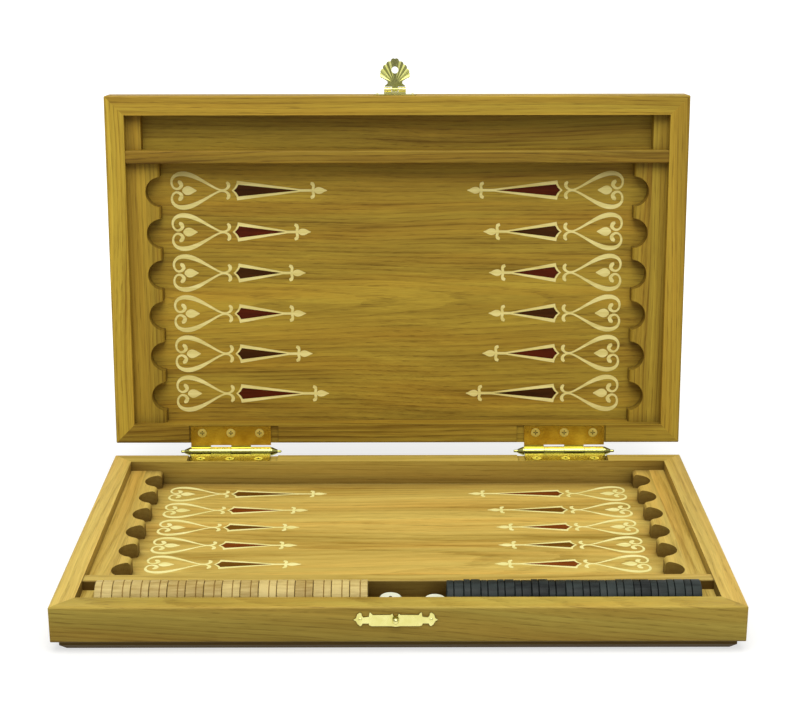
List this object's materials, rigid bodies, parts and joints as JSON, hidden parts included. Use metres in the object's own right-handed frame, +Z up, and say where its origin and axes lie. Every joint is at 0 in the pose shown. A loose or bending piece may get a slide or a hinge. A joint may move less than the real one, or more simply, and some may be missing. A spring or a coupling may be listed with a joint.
{
  "type": "games compendium box",
  "caption": "Folding oak games box standing open, with inlaid points, scalloped side strips, brass hinges and shell clasp, draughts and dice in its front tray.",
  "frame": {"origin": "middle of the lower half's flat underside", "axes": "+X to the right along the hinges, +Y to the back where the hinges are, +Z up; the front with the strike plate faces -Y"},
  "size_m": [0.5, 0.3837, 0.3795],
  "materials": {
    "oak": "satin varnish",
    "oak_board": "satin varnish",
    "light_inlay": "satin varnish",
    "brown_inlay": "satin varnish",
    "red_inlay": "satin varnish",
    "brass": "polished",
    "light_draught": "gloss varnish",
    "dark_draught": "gloss stain",
    "die": "gloss"
  },
  "bodies": {
    "base": {"base_front_rail": "oak", "base_back_rail": "oak", "base_left_rail": "oak", "base_right_rail": "oak", "base_board": "oak_board", "base_outer_panel": "oak", "base_left_ledge": "oak", "base_right_ledge": "oak", "base_left_scallop": "oak", "base_right_scallop": "oak", "base_tray_divider": "oak", "base_light_inlays": "light_inlay", "base_brown_inlays": "brown_inlay", "base_red_inlays": "red_inlay", "left_hinge_base_leaf": "brass", "left_hinge_pin": "brass", "right_hinge_base_leaf": "brass", "right_hinge_pin": "brass", "base_hinge_screws": "brass", "strike_plate": "brass", "strike_knob": "brass", "strike_nails": "brass"},
    "lid": {"lid_front_rail": "oak", "lid_back_rail": "oak", "lid_left_rail": "oak", "lid_right_rail": "oak", "lid_board": "oak_board", "lid_outer_panel": "oak", "lid_left_ledge": "oak", "lid_right_ledge": "oak", "lid_left_scallop": "oak", "lid_right_scallop": "oak", "lid_tray_divider": "oak", "lid_light_inlays": "light_inlay", "lid_brown_inlays": "brown_inlay", "lid_red_inlays": "red_inlay", "left_hinge_lid_leaf": "brass", "right_hinge_lid_leaf": "brass", "lid_hinge_screws": "brass", "clasp_plate": "brass", "clasp_pin": "brass", "clasp_nails": "brass"},
    "clasp": {"clasp_shell": "brass"},
    "light_draughts": {"light_draughts": "light_draught"},
    "dark_draughts": {"dark_draughts": "dark_draught"},
    "left_die": {"left_die": "die"},
    "right_die": {"right_die": "die"}
  },
  "joints": [
    {"name": "lid_hinge", "type": "hinge", "parent": "base", "child": "lid", "pos_m": [0, 0.16045, 0.0372], "axis": [-1, 0, 0], "range_deg": [-95.35, 84.65]},
    {"name": "clasp_swing", "type": "hinge", "parent": "lid", "child": "clasp", "pos_m": [-0.0018, 0.19659, 0.35341], "axis": [-1, 0, 0], "range_deg": [-90, 80]},
    {"name": "light_draughts_lift", "type": "slide", "parent": "base", "child": "light_draughts", "axis": [0, 0, 1], "range_m": [0, 0.04]},
    {"name": "dark_draughts_lift", "type": "slide", "parent": "base", "child": "dark_draughts", "axis": [0, 0, 1], "range_m": [0, 0.04]},
    {"name": "left_die_lift", "type": "slide", "parent": "base", "child": "left_die", "axis": [0, 0, 1], "range_m": [0, 0.04]},
    {"name": "right_die_lift", "type": "slide", "parent": "base", "child": "right_die", "axis": [0, 0, 1], "range_m": [0, 0.04]}
  ]
}
